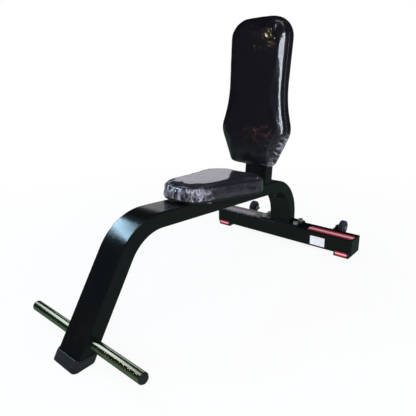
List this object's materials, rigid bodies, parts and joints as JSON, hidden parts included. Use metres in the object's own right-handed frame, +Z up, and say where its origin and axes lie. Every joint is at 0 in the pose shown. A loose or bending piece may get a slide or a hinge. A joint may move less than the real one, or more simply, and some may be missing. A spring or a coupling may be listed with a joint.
{
  "type": "upright utility bench",
  "caption": "Upright gym bench: bent tube frame with a front foot bar, tapered seat, leaning contoured back pad, floor crossbar and small transport wheels.",
  "frame": {"origin": "on the floor, at the middle of the footprint", "axes": "+Z up, -Y to the front where the user's feet go, +X to the seated user's left, which is the right as seen from the front and is what node names call right; the longest side is along Y"},
  "size_m": [0.7, 1.2958, 0.9266],
  "materials": {
    "frame_paint": "black satin-gloss powder coat",
    "bar_chrome": "polished chrome plate",
    "zinc_steel": null,
    "shoe_rubber": "moulded black rubber, satin",
    "wheel_rubber": "moulded black rubber, satin",
    "cap_plastic": "moulded black polyethylene, fine grain",
    "hub_plastic": "moulded dark grey nylon",
    "upholstery": "black synthetic leather, partly under clear film, glossy",
    "plywood": null,
    "red_vinyl": "red self-adhesive vinyl with a pale stripe, gloss",
    "label_white": "blank white label, semi-gloss"
  },
  "bodies": {
    "frame": {"main_tube": "frame_paint", "front_foot": "shoe_rubber", "foot_bar": "bar_chrome", "foot_bar_plugs": "cap_plastic", "back_post": "frame_paint", "post_cap": "cap_plastic", "back_pad_plates": "frame_paint", "back_pad_board": "plywood", "back_pad": "upholstery", "back_pad_bolts": "zinc_steel", "back_pad_washers": "zinc_steel", "back_pad_tee_nuts": "zinc_steel", "seat_pad_plates": "frame_paint", "seat_pad_board": "plywood", "seat_pad": "upholstery", "seat_pad_bolts": "zinc_steel", "seat_pad_washers": "zinc_steel", "seat_pad_tee_nuts": "zinc_steel", "rear_flange": "frame_paint", "flange_bolts": "zinc_steel", "flange_washers": "zinc_steel", "flange_nuts": "zinc_steel", "crossbar": "frame_paint", "crossbar_cap_left": "cap_plastic", "crossbar_cap_right": "cap_plastic", "rear_foot_left": "shoe_rubber", "rear_foot_right": "shoe_rubber", "foot_insert_left": "red_vinyl", "foot_insert_right": "red_vinyl", "foot_screws": "zinc_steel", "top_strip_left": "red_vinyl", "top_strip_right": "red_vinyl", "data_label": "label_white", "wheel_bracket_left": "frame_paint", "wheel_bracket_right": "frame_paint", "wheel_axle_left": "zinc_steel", "wheel_axle_right": "zinc_steel", "axle_nuts": "zinc_steel", "axle_washers": "zinc_steel"},
    "wheel_left": {"wheel_hub_left": "hub_plastic", "wheel_tyre_left": "wheel_rubber", "wheel_bush_left": "zinc_steel"},
    "wheel_right": {"wheel_hub_right": "hub_plastic", "wheel_tyre_right": "wheel_rubber", "wheel_bush_right": "zinc_steel"}
  },
  "joints": [
    {"name": "wheel_left_spin", "type": "hinge", "parent": "frame", "child": "wheel_left", "pos_m": [-0.241, 0.6155, 0.064], "axis": [1, 0, 0], "continuous": true},
    {"name": "wheel_right_spin", "type": "hinge", "parent": "frame", "child": "wheel_right", "pos_m": [0.241, 0.6155, 0.064], "axis": [1, 0, 0], "continuous": true}
  ]
}
